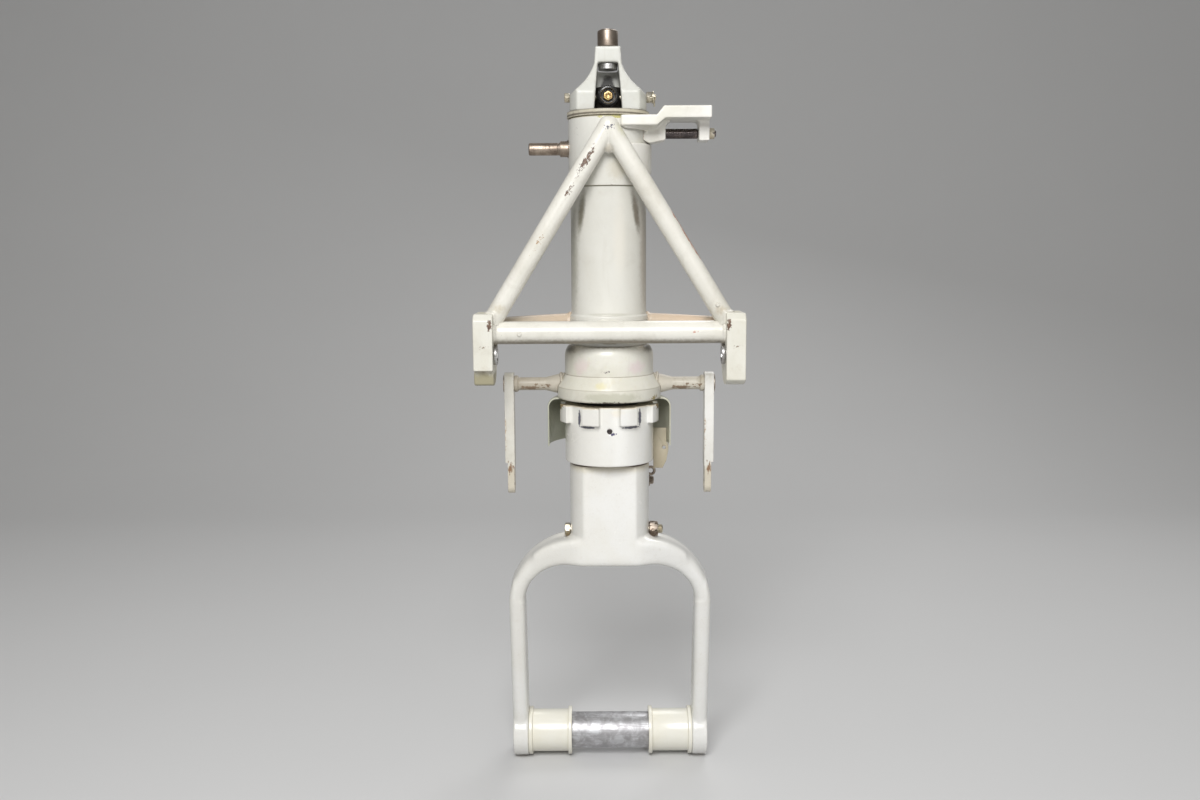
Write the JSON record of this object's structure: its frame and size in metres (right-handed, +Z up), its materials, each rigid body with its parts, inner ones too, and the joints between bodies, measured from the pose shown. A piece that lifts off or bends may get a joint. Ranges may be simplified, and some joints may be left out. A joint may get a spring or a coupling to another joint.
{
  "type": "landing gear strut",
  "caption": "Steerable nose landing gear shock strut with a braced trunnion frame, torque links and a raked wheel fork.",
  "frame": {"origin": "middle of the trunnion bore axis, between the two lugs", "axes": "+Z up along the strut, +X along the trunnion and wheel axles, +Y aft, the way the fork trails"},
  "size_m": [0.259, 0.2448, 0.758],
  "materials": {
    "frame_paint": "aged cream enamel",
    "link_paint": "worn cream enamel",
    "gloss_white": "fresh gloss white",
    "ivory_paint": "ivory enamel",
    "bare_steel": "oxidised bare steel",
    "plated_steel": "dull cadmium plate",
    "hard_chrome": "scratched hard chrome",
    "machined_steel": "turned",
    "sealed_ring": "yellowed sealant over steel",
    "bearing_bronze": "turned bronze",
    "valve_black": "gloss black",
    "valve_brass": "turned brass",
    "seal_rubber": "moulded"
  },
  "bodies": {
    "trunnion_frame": {"outer_barrel": "frame_paint", "lower_bearing_housing": "frame_paint", "steering_bushes": "bearing_bronze", "brace_left": "frame_paint", "brace_right": "frame_paint", "front_cross_tube": "frame_paint", "rear_cross_tubes": "frame_paint", "trunnion_lug_left": "frame_paint", "trunnion_lug_right": "frame_paint", "trunnion_bushes": "bare_steel", "uplock_arm": "frame_paint", "arm_saddle": "frame_paint", "uplock_bolt": "plated_steel", "uplock_nut": "plated_steel", "side_stud": "bare_steel", "side_rods": "frame_paint", "link_retainers": "bare_steel", "rear_shroud": "frame_paint", "shroud_tab": "frame_paint", "shroud_rivets": "bare_steel", "grease_nipple": "plated_steel"},
    "uplock_roller": {"uplock_roller": "hard_chrome"},
    "side_link_left": {"side_link_left": "link_paint"},
    "side_link_right": {"side_link_right": "link_paint"},
    "steering_group": {"oleo_cylinder": "machined_steel", "thrust_ring": "sealed_ring", "steering_tower": "frame_paint", "tower_bolt": "plated_steel", "tower_nut": "bare_steel", "tower_cotter": "bare_steel", "filler_valve_body": "valve_black", "filler_valve_core": "valve_brass", "roller_post": "bare_steel", "roller_post_nut": "bare_steel", "steering_collar": "gloss_white", "collar_set_screw": "bare_steel", "upper_link_ears": "link_paint", "upper_link_bolt": "plated_steel", "tie_eye": "bare_steel", "gland_nut": "machined_steel", "wiper_seal": "seal_rubber", "orifice_tube": "machined_steel"},
    "steering_roller": {"steering_roller": "bare_steel"},
    "upper_torque_link": {"upper_torque_link": "link_paint", "apex_bolt": "plated_steel", "apex_nut": "plated_steel"},
    "sliding_fork": {"piston_tube": "hard_chrome", "piston_bearing": "bearing_bronze", "metering_pin": "machined_steel", "fork": "gloss_white", "fork_bolt": "plated_steel", "fork_nut": "plated_steel", "lower_link_bolt": "plated_steel", "axle_tube": "hard_chrome", "axle_spacer_left": "ivory_paint", "axle_spacer_right": "ivory_paint", "axle_end_plates": "plated_steel", "tie_rod": "plated_steel", "tie_rod_nuts": "plated_steel"},
    "lower_torque_link": {"lower_torque_link": "link_paint"}
  },
  "joints": [
    {"name": "steering_turn", "type": "hinge", "parent": "trunnion_frame", "child": "steering_group", "pos_m": [0, 0.052, 0], "axis": [0, 0, 1], "range_deg": [-20, 20]},
    {"name": "steering_roller_spin", "type": "hinge", "parent": "steering_group", "child": "steering_roller", "pos_m": [0, 0.052, 0.303], "axis": [0, 0, 1], "continuous": true},
    {"name": "uplock_roller_spin", "type": "hinge", "parent": "trunnion_frame", "child": "uplock_roller", "pos_m": [0.0715, 0.045, 0.2115], "axis": [1, 0, 0], "continuous": true},
    {"name": "fork_slide", "type": "slide", "parent": "steering_group", "child": "sliding_fork", "axis": [0, 0, -1], "range_m": [0, 0.076]},
    {"name": "upper_torque_link_turn", "type": "hinge", "parent": "steering_group", "child": "upper_torque_link", "pos_m": [0, 0.11, -0.146], "axis": [-1, 0, 0], "range_deg": [0, 22.36]},
    {"name": "lower_torque_link_turn", "type": "hinge", "parent": "sliding_fork", "child": "lower_torque_link", "pos_m": [0, 0.11, -0.206], "axis": [1, 0, 0], "range_deg": [0, 22.36]},
    {"name": "side_link_left_swing", "type": "hinge", "parent": "trunnion_frame", "child": "side_link_left", "pos_m": [-0.1, 0.052, -0.034], "axis": [1, 0, 0], "range_deg": [-90, 90]},
    {"name": "side_link_right_swing", "type": "hinge", "parent": "trunnion_frame", "child": "side_link_right", "pos_m": [0.1, 0.052, -0.034], "axis": [1, 0, 0], "range_deg": [-90, 90]}
  ],
  "couplings": [
    {"joint": "upper_torque_link_turn", "follows": "fork_slide", "rad_per_m": 5.1342},
    {"joint": "lower_torque_link_turn", "follows": "fork_slide", "rad_per_m": 5.1342}
  ]
}
